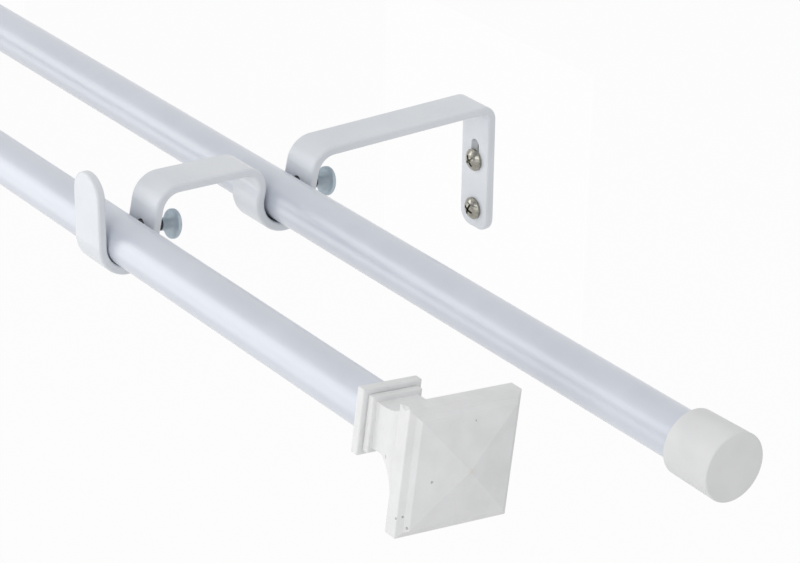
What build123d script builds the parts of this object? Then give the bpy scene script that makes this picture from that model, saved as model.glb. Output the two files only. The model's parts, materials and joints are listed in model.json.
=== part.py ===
"""Double curtain rod: two telescoping steel rods, one in front of the other, in a pair of wall brackets.

Each bracket is one folded steel strap: a wall plate, an arm, an open cradle for the back rod, a second
arm, and a cradle for the front rod that ends in a tall lip. A thumb screw through the wall side of each
cradle clamps the rod. The front rod ends in square cast finials, the back rod in plain plastic caps.

Millimetres. X runs along the rods, +Z is up and the wall is the plane y = 0, with the room at -Y.
The origin is the centre of the rectangle of the four wall screws, on the wall.
"""
from build123d import *
from math import cos, pi, radians, sin, sqrt, tan
import os

# Telescoping steel tubes
outer_tube_od = 15.9
outer_tube_wall = 0.6
inner_tube_wall = 0.6
tube_slide_gap = 0.3
outer_tube_length = 648.0
inner_tube_length = 575.0
front_inner_shown = 56.4
back_inner_shown = 219.2
tube_end_chamfer = 0.2

# Folded strap of a bracket
bracket_from_tube_end = 16.7
strap_width = 16.0
strap_thickness = 3.0
strap_edge_round = 0.8
lip_round = 7.9
plate_corner_r = 5.5

# Wall plate and its fixings
screw_pitch = 19.0
plate_tail = 7.6
slot_travel = 5.8
wall_screw_r = 2.0
wall_screw_neck_r = 1.7
wall_screw_gap = 0.15
wall_screw_length = 32.0
wall_screw_point = 6.0
wall_screw_head_r = 4.1
wall_screw_head_height = 2.8
wall_screw_head_rim = 0.9
recess_width = 0.95
recess_span = 4.4
recess_depth = 1.5
recess_turn = 34.0
wall_screw_tip_r = 0.3

# Cradles, measured on the rod side of the strap, in the plane across the rods
back_cradle_reach = 89.5
cradle_spacing = 61.9
back_cradle_height = 18.5
front_cradle_height = 18.0
back_cradle_r = 8.9
front_cradle_r = 8.4
rod_seat_gap = 0.05
back_seat_angle = 127.0
front_seat_angle = 105.0

# Course of the strap between them: heights of its corners at mid thickness, and radii outside its bends
arm_height = 31.3
front_corner_height = 32.8
wall_bend_r = 5.8
back_bend_r = 9.5
middle_bend_r = 8.4
front_bend_r = 9.4
leg_lean = 12.0
lip_height = 24.7

# Thumb screws, square to the leaning leg they go through
thumb_rise = 3.0
thumb_shank_r = 2.2
thumb_fit_gap = 0.05
thumb_length = 12.2
thumb_tip_chamfer = 1.0
thumb_tip_gap = 0.3
thumb_head_r = 5.1
thumb_head_thickness = 1.5
thumb_head_round = 0.4

# Square cast finial: lengths run forward from the back of its collar, halves are half widths
finial_face_reach = 189.7
finial_roll = -7.0
collar_half = 10.5
collar_length = 3.1
groove_half = 8.3
groove_length = 0.35
bead_half = 8.9
bead_length = 2.35
neck_half = 7.3
neck_length = 4.5
flare_length = 21.6
flare_sag = 1.75
rim_half = 19.85
rim_length = 4.6
ledge_half = 17.8
ledge_rise = 0.9
face_half = 16.9
face_rise = 1.6
point_rise = 3.3
chip_r = 1.6
chip_depth = 0.8
finial_edge_round = 0.45
socket_depth = 2.4
socket_gap = 0.12

# Finial fastening: a steel stud cast into the finial, screwed into a plastic plug in the tube
stud_r = 3.0
stud_in_finial = 18.0
stud_in_plug = 12.0
stud_gap = 0.06
stud_chamfer = 0.4
plug_length = 16.0
plug_flange = 1.2
plug_gap = 0.06
plug_rib_count = 6
plug_rib_width = 1.6
plug_rib_height = 0.9

# Plain end caps of the back rod
cap_face_reach = 233.7
cap_r = 10.9
cap_mouth_r = 10.5
cap_length = 18.6
cap_end_wall = 2.4
cap_edge_round = 0.5
cap_mouth_chamfer = 0.4
cap_gap = 0.08

# Sizes that follow
outer_r = outer_tube_od / 2
outer_bore_r = outer_r - outer_tube_wall
inner_r = outer_bore_r - tube_slide_gap
inner_bore_r = inner_r - inner_tube_wall
bracket_x = (outer_tube_length - cap_face_reach + cap_end_wall - bracket_from_tube_end) / 2
back_cradle = Vector(-back_cradle_reach, back_cradle_height)
front_cradle = Vector(-back_cradle_reach - cradle_spacing, front_cradle_height)
bead_start = collar_length + groove_length
neck_start = bead_start + bead_length
flare_start = neck_start + neck_length
rim_start = flare_start + flare_length
ledge_at = rim_start + rim_length
face_foot = ledge_at + ledge_rise
face_at = face_foot + face_rise
point_at = face_at + point_rise
front_tube_end = bracket_x + finial_face_reach - face_at + socket_depth - plug_flange
back_tube_end = bracket_x + cap_face_reach - cap_end_wall


def seated_rod(cradle, cradle_r, angle):
    """Centre of a rod that lies against its cradle, at an angle that is measured down from the room side."""
    offset = cradle_r - outer_r - rod_seat_gap
    return cradle - Vector(cos(radians(angle)), sin(radians(angle))) * offset


back_rod = seated_rod(back_cradle, back_cradle_r, back_seat_angle)
front_rod = seated_rod(front_cradle, front_cradle_r, front_seat_angle)


def strap_bends():
    """Straights and bends of the strap's centre line, from the foot of the plate to the top of the lip.

    A straight is ("straight", length). A bend is ("bend", radius, angle), and its angle is positive where
    the strap turns left as it is followed, seen along -X with the wall on the right.
    """
    half = strap_thickness / 2
    slope = radians(leg_lean)
    up_leg = Vector(sin(slope), cos(slope))
    across_leg = Vector(cos(slope), -sin(slope))

    def corner(foot, height):
        """Where a leg that rises from its foot meets the arm above it, at that height."""
        return foot + up_leg * ((height - foot.Y) / up_leg.Y)

    def cut(radius, angle):
        """Length that a bend takes off the straights on either side of its corner."""
        return radius * tan(radians(angle) / 2)

    back_foot = back_cradle + across_leg * (back_cradle_r + half)
    middle_foot = back_cradle - across_leg * (back_cradle_r + half)
    front_foot = front_cradle + across_leg * (front_cradle_r + half)
    plate_foot = Vector(-half, -screw_pitch / 2 - plate_tail)
    wall_corner = Vector(-half, arm_height)
    back_corner = corner(back_foot, arm_height)
    middle_corner = corner(middle_foot, arm_height)
    front_corner = corner(front_foot, front_corner_height)

    front_arm = front_corner - middle_corner
    tilt = Vector(-1, 0).get_angle(front_arm)
    back_turn = 90 - leg_lean
    middle_turn = 90 + leg_lean - tilt
    front_turn = 90 - leg_lean + tilt
    wall_cut = cut(wall_bend_r - half, 90)
    back_cut = cut(back_bend_r - half, back_turn)
    middle_cut = cut(middle_bend_r - half, middle_turn)
    front_cut = cut(front_bend_r - half, front_turn)
    return [
        ("straight", (wall_corner - plate_foot).length - wall_cut),
        ("bend", wall_bend_r - half, 90),
        ("straight", (back_corner - wall_corner).length - wall_cut - back_cut),
        ("bend", back_bend_r - half, back_turn),
        ("straight", (back_foot - back_corner).length - back_cut),
        ("bend", back_cradle_r + half, -180),
        ("straight", (middle_corner - middle_foot).length - middle_cut),
        ("bend", middle_bend_r - half, middle_turn),
        ("straight", front_arm.length - middle_cut - front_cut),
        ("bend", front_bend_r - half, front_turn),
        ("straight", (front_foot - front_corner).length - front_cut),
        ("bend", front_cradle_r + half, leg_lean - 180),
        ("straight", lip_height),
    ]


def strap_line(side):
    """One face of the strap as a chain of lines and arcs, side millimetres to the left of its middle."""
    foot = -screw_pitch / 2 - plate_tail
    point = Vector(-strap_thickness / 2 - side, foot)
    heading = Vector(0, 1)
    chain = []
    for kind, *size in strap_bends():
        if kind == "straight":
            piece = Line(point, point + heading * size[0])
        else:
            radius, angle = size
            shifted = radius - side if angle > 0 else radius + side
            piece = JernArc(point, heading, shifted, angle)
        chain.append(piece)
        point = piece @ 1
        heading = piece % 1
    return chain


def plate_slot(height, travel):
    """Cutter for a screw hole in the wall plate, drawn out upwards by its travel."""
    hole_r = wall_screw_r + wall_screw_gap
    outline = Circle(hole_r)
    if travel > 0:
        outline = Pos(0, travel / 2) * Rot(0, 0, 90) * SlotCenterToCenter(travel, 2 * hole_r)
    at_plate = Plane((0, strap_thickness, height), x_dir=(1, 0, 0), z_dir=(0, -1, 0))
    return extrude(at_plate * outline, 3 * strap_thickness)


def thumb_axis(cradle, along):
    """Plane on a thumb screw's axis, that far along it from beside the cradle's centre, looking at the wall."""
    out = Vector(0, cos(radians(leg_lean)), -sin(radians(leg_lean)))
    up = Vector(0, sin(radians(leg_lean)), cos(radians(leg_lean)))
    start = Vector(0, cradle.X, cradle.Y) + up * thumb_rise
    return Plane(start + out * along, x_dir=(1, 0, 0), z_dir=out)


def bracket():
    """One folded strap, centred on x = 0: plate, arm, back cradle, arm, front cradle and lip."""
    room_face = strap_line(strap_thickness / 2)
    wall_face = strap_line(-strap_thickness / 2)
    foot = Line(room_face[0] @ 0, wall_face[0] @ 0)
    tip = Line(room_face[-1] @ 1, wall_face[-1] @ 1)
    section = Plane.YZ * make_face(room_face + [tip] + wall_face + [foot])
    strap = extrude(section, strap_width / 2, both=True)

    foot_corners = strap.edges().filter_by(Axis.Y).group_by(Axis.Z)[0]
    strap = fillet(foot_corners, plate_corner_r)
    lip_corners = strap.edges().filter_by(Axis.Y).group_by(Axis.Y)[0].group_by(Axis.Z)[-1]
    strap = fillet(lip_corners, lip_round)
    sides = strap.faces().filter_by(Axis.X)
    strap = fillet(sides.edges(), strap_edge_round)

    strap -= plate_slot(screw_pitch / 2, slot_travel)
    strap -= plate_slot(-screw_pitch / 2, 0)
    for cradle, cradle_r in ((back_cradle, back_cradle_r), (front_cradle, front_cradle_r)):
        tapped = Circle(thumb_shank_r + thumb_fit_gap)
        strap -= extrude(thumb_axis(cradle, cradle_r / 2) * tapped, cradle_r)
    return strap


def wall_screw(turn):
    """Pan head screw with a cross recess, head above z = 0, and a thin neck through the plate below it."""
    rise = wall_screw_head_height - wall_screw_head_rim
    dome_r = (wall_screw_head_r ** 2 + rise ** 2) / (2 * rise)
    dome = Pos(0, 0, wall_screw_head_height - dome_r) * Sphere(dome_r)
    head = extrude(Circle(wall_screw_head_r), wall_screw_head_height) & dome
    cross = Rectangle(recess_span, recess_width) + Rectangle(recess_width, recess_span)
    recess = Pos(0, 0, wall_screw_head_height - recess_depth) * Rot(0, 0, turn) * cross
    head -= extrude(recess, wall_screw_head_height)

    outline = Polyline(
        (0, 0),
        (wall_screw_neck_r, 0),
        (wall_screw_neck_r, -strap_thickness),
        (wall_screw_r, -strap_thickness),
        (wall_screw_r, wall_screw_point - wall_screw_length),
        (wall_screw_tip_r, -wall_screw_length),
        (0, -wall_screw_length),
        close=True,
    )
    return head + revolve(Plane.XZ * make_face(outline), Axis.Z)


def thumb_screw():
    """Shank from its tip at z = 0 up to a thin round head."""
    shank = extrude(Circle(thumb_shank_r), thumb_length)
    shank = chamfer(shank.edges().group_by(Axis.Z)[0], thumb_tip_chamfer)
    head = extrude(Pos(0, 0, thumb_length) * Circle(thumb_head_r), thumb_head_thickness)
    head = fillet(head.edges().filter_by(GeomType.CIRCLE), thumb_head_round)
    return shank + head


def thumb_tip(cradle, rod):
    """How far along its axis a thumb screw's tip stops, just short of the rod's flank."""
    slope = radians(leg_lean)
    offset = rod - cradle
    along = offset.dot(Vector(cos(slope), -sin(slope)))
    above = thumb_rise - offset.dot(Vector(sin(slope), cos(slope)))
    inner_side = max(above - (thumb_shank_r - thumb_tip_chamfer), 0)
    return along + sqrt(outer_r ** 2 - inner_side ** 2) + thumb_tip_gap


def tube(tube_r, wall, length, start, rod):
    """Straight round tube that runs along +X from its start, on the centre line of its rod."""
    ring = Circle(tube_r) - Circle(tube_r - wall)
    end = Plane((start, rod.X, rod.Y), x_dir=(0, 1, 0), z_dir=(1, 0, 0))
    pipe = extrude(end * ring, length)
    outside = pipe.edges().filter_by(lambda edge: abs(edge.length - 2 * pi * tube_r) < tube_end_chamfer)
    return chamfer(outside.filter_by(GeomType.CIRCLE), tube_end_chamfer)


def end_cap(tube_r):
    """Plain cup over the end of a tube, its flat face at x = 0 and its mouth towards -X."""
    bore_r = tube_r + cap_gap
    outline = Polyline(
        (0, 0),
        (0, cap_r),
        (-cap_length, cap_mouth_r),
        (-cap_length, bore_r),
        (-cap_end_wall, bore_r),
        (-cap_end_wall, 0),
        close=True,
    )
    cup = revolve(make_face(outline), Axis.X)
    rims = cup.edges().filter_by(GeomType.CIRCLE).group_by(Axis.X)
    cup = chamfer(rims[0].sort_by(SortBy.RADIUS)[0], cap_mouth_chamfer)
    rims = cup.edges().filter_by(GeomType.CIRCLE).group_by(Axis.X)
    return fillet(rims[-1], cap_edge_round)


def finial_outline():
    """Side view of the finial: collar, bead, neck, flare, rim, raised face and low point, along +X."""
    upper = [
        Line((0, collar_half), (collar_length, collar_half)),
        Line((collar_length, collar_half), (collar_length, groove_half)),
        Line((collar_length, groove_half), (bead_start, groove_half)),
        Line((bead_start, groove_half), (bead_start, bead_half)),
        Line((bead_start, bead_half), (neck_start, bead_half)),
        Line((neck_start, bead_half), (neck_start, neck_half)),
        Line((neck_start, neck_half), (flare_start, neck_half)),
        SagittaArc((flare_start, neck_half), (rim_start, rim_half), -flare_sag),
        Line((rim_start, rim_half), (ledge_at, rim_half)),
        Line((ledge_at, rim_half), (face_foot, ledge_half)),
        Line((face_foot, ledge_half), (face_at, face_half)),
        Line((face_at, face_half), (point_at, 0)),
    ]
    lower = [mirror(edge, about=Plane.XZ) for edge in upper]
    back = Line((0, -collar_half), (0, collar_half))
    return make_face(upper + lower + [back])


def finial(tube_r, roll, chipped):
    """Square cast finial along +X from the back of its collar: its outline drawn out both ways and crossed."""
    slab = extrude(finial_outline(), 2 * rim_half, both=True)
    block = slab & (Rot(90, 0, 0) * slab)

    def is_worn(edge):
        """True for the edges of the collar, the bead and the rim, and round the raised face."""
        middle = edge @ 0.5
        breadth = max(abs(middle.Y), abs(middle.Z))
        halves = (collar_half, bead_half, rim_half, face_half)
        return any(abs(breadth - half) < finial_edge_round / 10 for half in halves)

    block = fillet(block.edges().filter_by(is_worn), finial_edge_round)
    if chipped:
        off_edge = rim_half + (chip_r - chip_depth) / sqrt(2)
        block -= Pos((rim_start + ledge_at) / 2, -off_edge, off_edge) * Sphere(chip_r)
    block = Rot(roll, 0, 0) * block
    block -= extrude(Plane.YZ * Circle(tube_r + socket_gap), socket_depth)
    stud_hole = socket_depth + stud_in_finial + stud_gap
    return block - extrude(Plane.YZ * Circle(stud_r + stud_gap), stud_hole)


def finial_stud():
    """Plain steel stud that starts in the plug and ends in the finial, with the tube's end at x = 0."""
    start = Plane.YZ.offset(plug_flange - stud_in_plug)
    stud = extrude(start * Circle(stud_r), stud_in_plug + stud_in_finial)
    return chamfer(stud.edges().filter_by(GeomType.CIRCLE), stud_chamfer)


def tube_plug(tube_r, wall):
    """Ribbed plug that fills a tube towards -X, its flange against the tube's end at x = 0."""
    bore_r = tube_r - wall
    core = Circle(bore_r - plug_rib_height)
    for rib in range(plug_rib_count):
        turn = Rot(0, 0, 360 * rib / plug_rib_count)
        core += turn * Pos(bore_r / 2, 0) * Rectangle(bore_r, plug_rib_width)
    core &= Circle(bore_r - plug_gap)
    plug = extrude(Plane.YZ * core, -plug_length)
    plug += extrude(Plane.YZ * Circle(tube_r), plug_flange)
    return plug - extrude(Plane.YZ * Circle(stud_r + stud_gap), plug_length, both=True)


def all_parts():
    """Every piece in its place, by name."""
    parts = {}
    strap = bracket()
    screw = thumb_screw()
    turn = 0
    for side, x in (("right", bracket_x), ("left", -bracket_x)):
        parts[f"bracket_{side}"] = Pos(x, 0, 0) * strap
        for level, height in (("upper", screw_pitch / 2), ("lower", -screw_pitch / 2)):
            turn += recess_turn
            seat = Plane((x, -strap_thickness, height), x_dir=(1, 0, 0), z_dir=(0, -1, 0))
            parts[f"wall_screw_{side}_{level}"] = seat * wall_screw(turn)
        for name, cradle, rod in (("back", back_cradle, back_rod), ("front", front_cradle, front_rod)):
            seat = thumb_axis(cradle, thumb_tip(cradle, rod))
            parts[f"thumb_screw_{side}_{name}"] = Pos(x, 0, 0) * seat * screw

    ends = {}
    for name, rod, end, shown in (
        ("back", back_rod, back_tube_end, back_inner_shown),
        ("front", front_rod, front_tube_end, front_inner_shown),
    ):
        start = end - outer_tube_length
        ends[name] = {"right": end, "left": shown - start}
        parts[f"{name}_outer_tube"] = tube(outer_r, outer_tube_wall, outer_tube_length, start, rod)
        parts[f"{name}_inner_tube"] = tube(inner_r, inner_tube_wall, inner_tube_length, start - shown, rod)

    for side, tube_r, wall, roll in (
        ("right", outer_r, outer_tube_wall, finial_roll),
        ("left", inner_r, inner_tube_wall, 0),
    ):
        front_end = Pos(ends["front"][side], front_rod.X, front_rod.Y)
        back_end = Pos(ends["back"][side], back_rod.X, back_rod.Y)
        pieces = {
            "end_cap": back_end * Pos(cap_end_wall, 0, 0) * end_cap(tube_r),
            "finial": front_end * Pos(plug_flange - socket_depth, 0, 0) * finial(tube_r, roll, side == "right"),
            "finial_stud": front_end * finial_stud(),
            "tube_plug": front_end * tube_plug(tube_r, wall),
        }
        for name, piece in pieces.items():
            parts[f"{name}_{side}"] = piece if side == "right" else mirror(piece, about=Plane.YZ)
    return parts


if __name__ == "__main__":
    os.makedirs("parts", exist_ok=True)
    for name, piece in all_parts().items():
        export_step(piece, f"parts/{name}.step")
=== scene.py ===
"""Double curtain rod in white paint, with cast finials, plastic caps and plated screws."""
import json

import bmesh
import bpy
import numpy as np
from mathutils import Matrix, Vector


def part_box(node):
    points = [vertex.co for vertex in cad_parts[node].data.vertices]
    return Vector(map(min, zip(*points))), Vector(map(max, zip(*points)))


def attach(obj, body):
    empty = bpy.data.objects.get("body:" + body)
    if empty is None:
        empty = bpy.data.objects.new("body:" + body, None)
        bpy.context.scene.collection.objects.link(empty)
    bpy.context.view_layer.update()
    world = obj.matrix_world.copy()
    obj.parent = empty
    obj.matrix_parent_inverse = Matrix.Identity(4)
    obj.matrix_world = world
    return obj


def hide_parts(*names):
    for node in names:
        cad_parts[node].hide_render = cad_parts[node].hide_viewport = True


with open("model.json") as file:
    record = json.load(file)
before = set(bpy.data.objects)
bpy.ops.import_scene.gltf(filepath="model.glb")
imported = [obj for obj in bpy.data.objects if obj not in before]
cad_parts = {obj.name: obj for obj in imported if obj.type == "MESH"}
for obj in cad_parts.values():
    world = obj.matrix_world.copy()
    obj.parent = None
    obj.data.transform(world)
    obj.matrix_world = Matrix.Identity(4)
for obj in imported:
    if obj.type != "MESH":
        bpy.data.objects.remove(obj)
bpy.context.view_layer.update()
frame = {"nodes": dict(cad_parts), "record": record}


# Brackets: each is one steel strap, folded to shape and powder coated. The coat is cool white and half
# glossy, with a fine orange peel, and it lies a little thinner in some places than in others.
class Value:
    """A value in a node tree. Arithmetic on it adds Math nodes, and add() adds any other node."""

    def __init__(self, tree, output=None):
        self.tree = tree
        self.output = output

    def add(self, kind, output=0, inputs=None, **settings):
        """Adds a node of that kind and returns one of its outputs.

        The settings are set first. inputs then fills the sockets, by name or number, with values or links.
        """
        node = self.tree.nodes.new(kind)
        for name, value in settings.items():
            setattr(node, name, value)
        for name, value in (inputs or {}).items():
            if isinstance(value, Value):
                self.tree.links.new(value.output, node.inputs[name])
            else:
                node.inputs[name].default_value = value
        return Value(self.tree, node.outputs[output] if len(node.outputs) else None)

    def maths(self, operation, *terms):
        """Adds a Math node that works on these terms."""
        return self.add("ShaderNodeMath", 0, dict(enumerate(terms)), operation=operation)

    def __add__(self, other):
        return self.maths("ADD", self, other)

    def __sub__(self, other):
        return self.maths("SUBTRACT", self, other)

    def __rsub__(self, other):
        return self.maths("SUBTRACT", other, self)

    def __mul__(self, other):
        return self.maths("MULTIPLY", self, other)

    __radd__ = __add__
    __rmul__ = __mul__

    def larger(self, other):
        """The larger of two values."""
        return self.maths("MAXIMUM", self, other)

    def ramp(self, low, high, start=0.0, end=1.0):
        """Smooth step from start to end while this value runs from low to high."""
        sockets = {0: self, 1: low, 2: high, 3: start, 4: end}
        return self.add("ShaderNodeMapRange", 0, sockets, interpolation_type="SMOOTHSTEP", clamp=True)

    def spread(self, start=0.0, end=1.0):
        """Smooth step from start to end over the middle of a noise's values, where most of them lie."""
        return self.ramp(0.3, 0.7, start, end)


def material(name):
    """An empty material, its tree as a Value, and its object coordinates in metres."""
    made = bpy.data.materials.new(name)
    made.use_nodes = True
    made.node_tree.nodes.clear()
    tree = Value(made.node_tree)
    return made, tree, tree.add("ShaderNodeTexCoord", "Object")


def noise(place, scale, detail=2.0, roughness=0.5):
    """Soft cloudy noise between 0 and 1, scale features to the metre."""
    sockets = {"Vector": place, "Scale": scale, "Detail": detail, "Roughness": roughness}
    return place.add("ShaderNodeTexNoise", 0, sockets)


def mixed(factor, first, second):
    """Colour that runs from the first to the second as the factor runs from 0 to 1."""
    return factor.add("ShaderNodeMix", 2, {0: factor, 6: first, 7: second}, data_type="RGBA")


def bumped(height, distance):
    """Surface normal raised by height times distance, in metres."""
    return height.add("ShaderNodeBump", 0, {"Height": height, "Distance": distance})


def surface(tree, **sockets):
    """Closes a material with a Principled surface."""
    named = {name.replace("_", " "): value for name, value in sockets.items()}
    shader = tree.add("ShaderNodeBsdfPrincipled", 0, named)
    tree.add("ShaderNodeOutputMaterial", 0, {"Surface": shader})


def dress(slot_name, made):
    """Gives a material to every part that the record lists under that slot."""
    for part in frame["record"]["subparts"]:
        if part["material_slot"] == slot_name:
            shown = frame["nodes"][part["node"]]
            shown.data.materials.clear()
            shown.data.materials.append(made)


coat_thin = (0.68, 0.71, 0.75, 1)
coat_full = (0.725, 0.75, 0.785, 1)
coat, tree, place = material("strap_powder_coat")
peel = noise(place, scale=900.0, detail=3.0, roughness=0.55)
cloud = noise(place, scale=45.0)
surface(
    tree,
    Base_Color=mixed(cloud.spread(), coat_thin, coat_full),
    Roughness=peel.spread(0.30, 0.42),
    Coat_Weight=cloud.spread(0.15, 0.3),
    Coat_Roughness=0.2,
    Normal=bumped(peel, distance=0.00006),
)
dress("bracket_paint", coat)

# Wall screws: nickel plated steel with a pan head and a cross recess. The head stands on the plate, and
# behind the wall's face a coarse thread winds round the shank, rolled up out of the same steel.
nickel_dull = (0.26, 0.25, 0.215, 1)
nickel_bright = (0.38, 0.37, 0.33, 1)
nickel, tree, place = material("screw_nickel")
thin = noise(place, scale=900.0, detail=3.0, roughness=0.6)
smear = noise(place, scale=240.0)
surface(
    tree,
    Base_Color=mixed(thin.spread(), nickel_dull, nickel_bright),
    Metallic=1.0,
    Roughness=smear.spread(0.16, 0.30),
    Normal=bumped(thin, distance=0.00003),
)
dress("screw_nickel", nickel)


def skin(name, grid, body, made):
    """A closed surface through a grid of points, rows by columns by xyz, where each row is a ring.

    Each face joins a point with the next one of its ring and with the same two of the next ring.
    """
    rows, columns = grid.shape[:2]
    down = np.arange(rows - 1)[:, None] * columns
    across = np.arange(columns)[None, :]
    onward = (across + 1) % columns
    corners = [down + across, down + onward, down + columns + onward, down + columns + across]
    faces = np.stack(corners, axis=-1).reshape(-1, 4)
    mesh = bpy.data.meshes.new(name)
    mesh.from_pydata(grid.reshape(-1, 3).tolist(), [], faces.tolist())
    work = bmesh.new()
    work.from_mesh(mesh)
    bmesh.ops.remove_doubles(work, verts=work.verts, dist=1e-7)
    bmesh.ops.dissolve_degenerate(work, edges=work.edges, dist=1e-8)
    bmesh.ops.recalc_face_normals(work, faces=work.faces)
    work.to_mesh(mesh)
    work.free()
    mesh.shade_smooth()
    mesh.materials.append(made)
    piece = bpy.data.objects.new(name, mesh)
    bpy.context.scene.collection.objects.link(piece)
    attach(piece, body)
    return piece


def thread_ridge(start, length, pitch, shank_r, height):
    """Points of a ridge wound round a shank along +Y, tapered to nothing at both ends.

    At turn t the ridge is at y = start + pitch t, and its section there is a triangle whose crest
    stands height above the shank. Its foot is foot_width times the pitch wide, and sunk times the
    height under the shank's surface.
    """
    steps_a_turn = 32
    taper_turns = 0.6
    foot_width = 0.45
    sunk = 0.15
    turns = length / pitch
    turn = np.linspace(0, turns, int(turns * steps_a_turn) + 1)[:, None]
    taper = np.clip(np.minimum(turn, turns - turn) / taper_turns, 0, 1)
    side = np.array([-0.5, 0.0, 0.5, 0.0])[None, :]
    rise = np.array([-sunk, 1.0, -sunk, -2 * sunk])[None, :]
    radius = shank_r + height * (rise * taper - sunk * (1 - taper))
    along = start[1] + pitch * turn + foot_width * pitch * side * taper
    angle = np.broadcast_to(2 * np.pi * turn, radius.shape)
    return np.stack([start[0] + radius * np.cos(angle), along, start[2] + radius * np.sin(angle)], axis=-1)


wall_screw_shank_r = 0.0020
wall_screw_point = 0.0060
wall_thread_start = 0.0012
wall_thread_stop = 0.0008
wall_thread_pitch = 0.0018
wall_thread_height = 0.00045
for name in sorted(frame["nodes"]):
    if name.startswith("wall_screw"):
        low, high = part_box(name)
        axis_start = np.array([(low[0] + high[0]) / 2, wall_thread_start, (low[2] + high[2]) / 2])
        threaded = high[1] - wall_screw_point - wall_thread_start - wall_thread_stop
        ridge = thread_ridge(axis_start, threaded, wall_thread_pitch, wall_screw_shank_r, wall_thread_height)
        skin(name + "_thread", ridge, "wall_set", nickel)

# Thumb screws: turned steel with pale blue-grey zinc plating. The thin head has a plain rounded rim for
# the fingers, and the thread below its short neck is painted near black as painted shade for the shadowed
# gap between strap and head.
zinc_deep = (0.48, 0.56, 0.615, 1)
zinc_pale = (0.55, 0.63, 0.685, 1)
zinc, tree, place = material("thumb_screw_zinc")
bloom = noise(place, scale=400.0, detail=3.0, roughness=0.6)
fine = noise(place, scale=3200.0)
surface(
    tree,
    Base_Color=mixed(bloom.ramp(0.35, 0.7), zinc_deep, zinc_pale),
    Metallic=bloom.spread(0.35, 0.5),
    Roughness=fine.spread(0.50, 0.62),
    Normal=bumped(fine, distance=0.00002),
)

# Painted shade: the thread is coloured near black to stand for the shadow in the gap between the strap and
# the head.
thread_shade_black = (0.025, 0.027, 0.03, 1)
thread_shade_grey = (0.06, 0.063, 0.07, 1)
shade_painted_thread, tree, place = material("thumb_screw_thread")
thread_noise = noise(place, scale=900.0, detail=3.0)
surface(
    tree,
    Base_Color=mixed(thread_noise.spread(), thread_shade_black, thread_shade_grey),
    Metallic=0.6,
    Roughness=thread_noise.spread(0.35, 0.5),
    Normal=bumped(thread_noise, distance=0.00002),
)

thumb_lean = np.radians(12.0)
thumb_out = np.array([0.0, np.cos(thumb_lean), -np.sin(thumb_lean)])
thumb_across = np.array([1.0, 0.0, 0.0])
thumb_ring_points = 96
thumb_shank_r = 0.0022
thumb_tip_r = 0.0012
thumb_tip_layer = 2e-5
thumb_neck = 0.0042
thumb_head_r = 0.0051
thumb_head_thickness = 0.0015
thumb_rim_round = 0.0004
thumb_rim_steps = 6
thumb_thread_pitch = 0.0008
thumb_thread_depth = 0.0003
thumb_thread_run_in = 0.001
thumb_thread_least = 0.3
thumb_thread_run_out = 0.0004
thumb_profile_step = 0.0001


def tip_and_length(name):
    """Middle of a thumb screw's tip, from the points of its node that lie furthest back, and its length."""
    mesh = frame["nodes"][name].data
    points = np.empty(len(mesh.vertices) * 3)
    mesh.vertices.foreach_get("co", points)
    points = np.unique(points.reshape(-1, 3).round(7), axis=0)
    along = points @ thumb_out
    tip = points[along < along.min() + thumb_tip_layer].mean(axis=0)
    return tip, along.max() - along.min()


def turned(tip, profile):
    """Rings of a turned piece round the axis that leaves the tip along thumb_out.

    profile holds rows of (along, radius, depth). At angle a the radius is
    radius - depth (1 - |2 frac(along / pitch - a / 2 pi) - 1|), so a groove of that depth winds along.
    """
    angle = np.linspace(0, 2 * np.pi, thumb_ring_points, endpoint=False)[None, :]
    along, radius, depth = [column[:, None] for column in profile.T]
    groove = 1 - np.abs(2 * ((along / thumb_thread_pitch - angle / (2 * np.pi)) % 1) - 1)
    reach = radius - depth * groove
    ring = np.cos(angle)[..., None] * thumb_across
    ring = ring + np.sin(angle)[..., None] * np.cross(thumb_out, thumb_across)
    return tip + along[..., None] * thumb_out + reach[..., None] * ring


for name in sorted(frame["nodes"]):
    if name.startswith("thumb_screw"):
        tip, length = tip_and_length(name)
        head_at = length - thumb_head_thickness
        neck_at = head_at - thumb_neck

        along = np.linspace(0, neck_at, int(neck_at / thumb_profile_step))
        radius = np.minimum(thumb_tip_r + along, thumb_shank_r)
        run_out = np.clip((neck_at - along) / thumb_thread_run_out, 0, 1)
        run_in = np.clip(along / thumb_thread_run_in, thumb_thread_least, 1)
        depth = thumb_thread_depth * run_out * run_in
        shank = np.vstack([[0, 0, 0], np.stack([along, radius, depth], axis=1), [neck_at, 0, 0]])
        skin(name + "_thread", turned(tip, shank), name, shade_painted_thread)

        turn = np.radians(np.linspace(0, 90, thumb_rim_steps))
        out_by = thumb_rim_round * np.sin(turn)
        back_by = thumb_rim_round * (1 - np.cos(turn))
        inner_r = thumb_head_r - thumb_rim_round
        under = np.stack([head_at + back_by, inner_r + out_by, 0 * turn], axis=1)
        over = np.stack([length - back_by, inner_r + out_by, 0 * turn], axis=1)[::-1]
        neck = [[neck_at, 0, 0], [neck_at, thumb_shank_r, 0], [head_at, thumb_shank_r, 0]]
        profile = np.vstack([neck, under, over, [length, 0, 0]])
        head = skin(name + "_head", turned(tip, profile), name, zinc)
        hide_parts(name)

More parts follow.
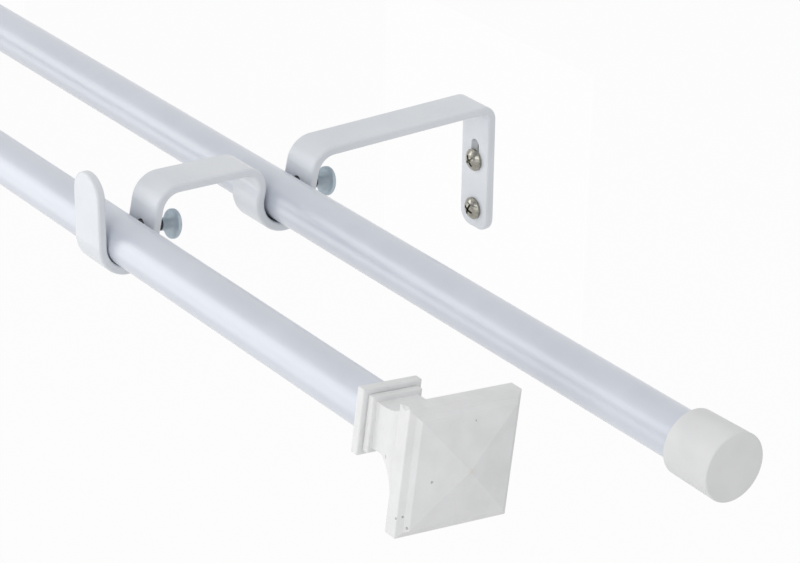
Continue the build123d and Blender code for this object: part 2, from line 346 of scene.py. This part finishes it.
# Rods: drawn steel tubes in white paint, the thin one sliding in the thick one. The paint is smoother
# than the straps' coat, with slow waves where it lay thicker and faint lengthwise draw marks under it.
paint_thin = (0.55, 0.585, 0.66, 1)
paint_full = (0.58, 0.615, 0.69, 1)
draw_stretch = (0.06, 1.0, 1.0)
paint, tree, place = material("tube_paint")
stretched = place.add("ShaderNodeMapping", 0, {"Vector": place, "Scale": draw_stretch})
drawn = noise(stretched, scale=1400.0)
peel = noise(place, scale=620.0)
waves = noise(place, scale=60.0)
surface(
    tree,
    Base_Color=mixed(waves.spread(), paint_thin, paint_full),
    Roughness=waves.spread(0.36, 0.41),
    Specular_IOR_Level=0.95,
    Coat_Weight=peel.spread(0.85, 1.0),
    Coat_Roughness=0.34,
    Normal=bumped(0.8 * peel + 0.25 * drawn, distance=0.000008),
)
dress("tube_paint", paint)

# Finials: cast resin painted flat white, with a fine grain from the mould. The right one shows the pits
# where air was trapped, greyed inside with painted shade, and a yellowed spot at the tip of its point.
# A steel stud and a plastic plug hold each in the end of the front rod.
resin_pale = (0.815, 0.82, 0.825, 1)
resin_deep = (0.765, 0.77, 0.77, 1)
finial_roll = np.radians(-7.0)
point_at = (0.0423, 0.0, 0.0)
stain_yellow = (0.72, 0.64, 0.42, 1)
stain_strength = 0.2
stain_core_r = 0.0004
stain_edge_r = 0.0012
# Painted shade: the pits are greyed inside, where shade falls in their hollows.
pit_shade_grey = (0.33, 0.33, 0.33, 1)
pit_shade_strength = 0.4
pit_depth = 3.0
pit_floor_share = 0.5
pit_edge_share = 1.3
pits = {
    "on_face": (0.0400, -0.0117, -0.0021, 0.00032),
    "above_point": (0.0395, 0.0019, 0.0143, 0.00018),
    "at_face_foot": (0.0372, -0.0183, -0.0129, 0.00028),
    "on_rim": (0.0361, -0.0198, -0.0136, 0.00032),
    "on_flare": (0.0141, -0.0083, -0.0063, 0.00050),
    "by_corner": (0.0383, -0.0172, -0.0161, 0.00036),
}


def cast_resin(name, side):
    """Flat white resin on one finial. Its pits are placed from the middle of the collar's back."""
    made, tree, place = material(name)
    grain = noise(place, scale=1500.0, detail=3.0, roughness=0.6)
    swell = noise(place, scale=130.0)
    height = 0.35 * grain + 0.9 * swell
    colour = mixed(swell.ramp(0.25, 0.75), resin_pale, resin_deep)
    if side == "right":
        low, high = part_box("finial_right")
        start = (low[0], (low[1] + high[1]) / 2, (low[2] + high[2]) / 2)
        shifted = {"Vector": place, "Location": start, "Rotation": (finial_roll, 0, 0)}
        own = place.add("ShaderNodeMapping", 0, shifted, vector_type="TEXTURE")
        hollow = None
        for x, y, z, radius in pits.values():
            off = own.add("ShaderNodeVectorMath", "Value", {0: own, 1: (x, y, z)}, operation="DISTANCE")
            pit = off.ramp(radius * pit_floor_share, radius * pit_edge_share, 1.0, 0.0)
            hollow = pit if hollow is None else hollow.larger(pit)
        height = height - pit_depth * hollow
        tip = own.add("ShaderNodeVectorMath", "Value", {0: own, 1: point_at}, operation="DISTANCE")
        stain = tip.ramp(stain_core_r, stain_edge_r, stain_strength, 0.0)
        colour = mixed(stain, colour, stain_yellow)
        # Painted shade in the pits: their hollows are mixed toward grey.
        colour = mixed(pit_shade_strength * hollow, colour, pit_shade_grey)
    surface(
        tree,
        Base_Color=colour,
        Roughness=grain.spread(0.48, 0.62),
        Specular_IOR_Level=0.4,
        Normal=bumped(height, distance=0.00012),
    )
    return made


for side in ("right", "left"):
    shown = frame["nodes"]["finial_" + side]
    shown.data.materials.clear()
    shown.data.materials.append(cast_resin("cast_resin_" + side, side))

stud_dull = (0.50, 0.50, 0.50, 1)
stud_bright = (0.60, 0.60, 0.60, 1)
steel, tree, place = material("stud_steel")
turning = noise(place, scale=2200.0)
surface(
    tree,
    Base_Color=mixed(turning.spread(), stud_dull, stud_bright),
    Metallic=1.0,
    Roughness=turning.spread(0.3, 0.45),
    Normal=bumped(turning, distance=0.00002),
)
dress("stud_steel", steel)

# End caps and plugs: moulded plastic, off-white and matt, with the fine spark texture of the mould. The
# caps push over the ends of the back rod, and the plugs are pressed into the ends of the front rod.
plastic_deep = (0.715, 0.72, 0.725, 1)
plastic_pale = (0.755, 0.76, 0.76, 1)
plastic, tree, place = material("moulded_plastic")
spark = noise(place, scale=2600.0, detail=3.0, roughness=0.65)
flow = noise(place, scale=70.0)
surface(
    tree,
    Base_Color=mixed(flow.spread(), plastic_deep, plastic_pale),
    Roughness=spark.spread(0.42, 0.55),
    Normal=bumped(0.6 * spark + flow, distance=0.00004),
)
dress("cap_plastic", plastic)
dress("plug_plastic", plastic)


# Floor and wall: a pale floor well below the rods keeps a faint shadow. Behind each plate a patch of
# white wall, seen from the room side only, hides the shanks of the screws as a real wall does, and it
# is dark where the open end of the plate's slot shades it.
def seen_in_picture(tree):
    """One for rays from the camera, from reflections and from glass, so that metal shows the background."""
    path = tree.add("ShaderNodeLightPath", "Is Camera Ray")
    glossy = tree.add("ShaderNodeLightPath", "Is Glossy Ray")
    through = tree.add("ShaderNodeLightPath", "Is Transmission Ray")
    return path.larger(glossy).larger(through)


def sheet(name, corners, made):
    """A flat sheet of the surroundings through its corners."""
    mesh = bpy.data.meshes.new(name)
    mesh.from_pydata(corners, [], [tuple(range(len(corners)))])
    mesh.materials.append(made)
    placed = bpy.data.objects.new(name, mesh)
    bpy.context.scene.collection.objects.link(placed)
    return placed


floor_deep = (0.90, 0.90, 0.90, 1)
floor_light = (0.93, 0.93, 0.93, 1)
floor_whiteness = 0.93
floor_reach = 6.0
floor_height = -1.3
pale, tree, place = material("floor_pale")
mottle = mixed(noise(place, scale=3.0), floor_deep, floor_light)
lit = tree.add("ShaderNodeBsdfDiffuse", 0, {"Color": mottle})
white = tree.add("ShaderNodeEmission", 0, {"Color": (1, 1, 1, 1), "Strength": 1.0})
shown_white = seen_in_picture(tree) * floor_whiteness
blend = tree.add("ShaderNodeMixShader", 0, {0: shown_white, 1: lit, 2: white})
tree.add("ShaderNodeOutputMaterial", 0, {"Surface": blend})
floor_corners = [
    (-floor_reach, -floor_reach, floor_height),
    (floor_reach, -floor_reach, floor_height),
    (floor_reach, floor_reach, floor_height),
    (-floor_reach, floor_reach, floor_height),
]
sheet("floor", floor_corners, pale)

wall_brightness = 0.985
wall_behind = 0.0003
wall_half_width = 0.06
wall_foot = -0.05
wall_head = 0.06
slot_shade = (0.03, 0.03, 0.028, 1)
slot_at = (0.2, wall_behind, 0.0115)
slot_dark_r = 0.0028
slot_clear_r = 0.0060
wall_white, tree, place = material("wall_white")
white = tree.add("ShaderNodeEmission", 0, {"Color": (1, 1, 1, 1), "Strength": wall_brightness})
clear = tree.add("ShaderNodeBsdfTransparent", 0)
shade = tree.add("ShaderNodeEmission", 0, {"Color": slot_shade, "Strength": 1.0})
folded = place.add("ShaderNodeVectorMath", 0, {0: place}, operation="ABSOLUTE")
from_slot = folded.add("ShaderNodeVectorMath", "Value", {0: folded, 1: slot_at}, operation="DISTANCE")
shaded = from_slot.ramp(slot_dark_r, slot_clear_r, 1.0, 0.0)
room_side = tree.add("ShaderNodeMixShader", 0, {0: shaded, 1: white, 2: shade})
facing = tree.add("ShaderNodeNewGeometry", "Backfacing")
either_side = tree.add("ShaderNodeMixShader", 0, {0: facing, 1: room_side, 2: clear})
tree.add("ShaderNodeOutputMaterial", 0, {"Surface": either_side})
for side in ("right", "left"):
    low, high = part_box("bracket_" + side)
    middle = (low[0] + high[0]) / 2
    wall_corners = [
        (middle - wall_half_width, wall_behind, wall_foot),
        (middle + wall_half_width, wall_behind, wall_foot),
        (middle + wall_half_width, wall_behind, wall_head),
        (middle - wall_half_width, wall_behind, wall_head),
    ]
    wall = sheet("wall_" + side, wall_corners, wall_white)
    wall.visible_diffuse = False
    wall.visible_glossy = False
    wall.visible_shadow = False
    wall.visible_transmission = False

# Soft light: an even sky, a broad lamp and a dimmer low one from the room side, one in front of the
# finials, and a long faint one above and behind the rods.
sky_light = 0.69
world = bpy.data.worlds.new("studio")
bpy.context.scene.world = world
world.use_nodes = True
world.node_tree.nodes.clear()
sky = Value(world.node_tree)
strength = seen_in_picture(sky).ramp(0.0, 1.0, sky_light, 1.0)
background = sky.add("ShaderNodeBackground", 0, {"Color": (1.0, 1.0, 1.0, 1), "Strength": strength})
sky.add("ShaderNodeOutputWorld", 0, {"Surface": background})


def lamp(name, place, size, power, colour):
    """A rectangular area lamp of that size in metres and power in watts, aimed at the right bracket."""
    light = bpy.data.lights.new(name, "AREA")
    light.shape = "RECTANGLE"
    light.size, light.size_y = size
    light.energy = power
    light.color = colour
    placed = bpy.data.objects.new(name, light)
    bpy.context.scene.collection.objects.link(placed)
    placed.location = place
    placed.rotation_euler = (lamp_aim - Vector(place)).to_track_quat("-Z", "Y").to_euler()


lamp_aim = Vector((0.2, -0.1, 0.0))
neutral = (1.0, 1.0, 1.0)
cool = (0.97, 0.98, 1.0)
lamp("room_lamp", place=(-1.65, -1.7, 0.65), size=(1.2, 1.3), power=10.0, colour=neutral)
lamp("low_lamp", place=(-1.65, -1.7, -0.55), size=(1.2, 1.1), power=5.4, colour=neutral)
lamp("front_lamp", place=(1.15, -2.05, 0.45), size=(1.4, 1.4), power=11.5, colour=neutral)
lamp("top_lamp", place=(0.5, 0.9, 1.6), size=(2.4, 0.8), power=2.5, colour=cool)

# Camera: it stands on the photograph's line of sight. Its lens and its turn were worked out from the
# edges of the two straight rods, of the bracket's arms and of its wall plate.
focal_pixels = 2825.17
frame_pixels = 800
station = (0.9393, -0.5771, 0.4060)
line_of_sight = Vector((-0.7284, 0.5336, -0.4299))
picture_right = Vector((0.586, 0.8102, 0.0127))
lens = bpy.data.cameras.new("camera")
lens.sensor_width = 36.0
lens.lens = focal_pixels / frame_pixels * lens.sensor_width
lens.clip_start = 0.01
camera = bpy.data.objects.new("camera", lens)
bpy.context.scene.collection.objects.link(camera)
ahead = line_of_sight.normalized()
right = (picture_right - ahead * picture_right.dot(ahead)).normalized()
up = right.cross(ahead)
columns = zip(right, up, -ahead, station)
camera.matrix_world = Matrix([*columns, (0, 0, 0, 1)])
bpy.context.scene.camera = camera
bpy.context.scene.view_settings.view_transform = "Standard"
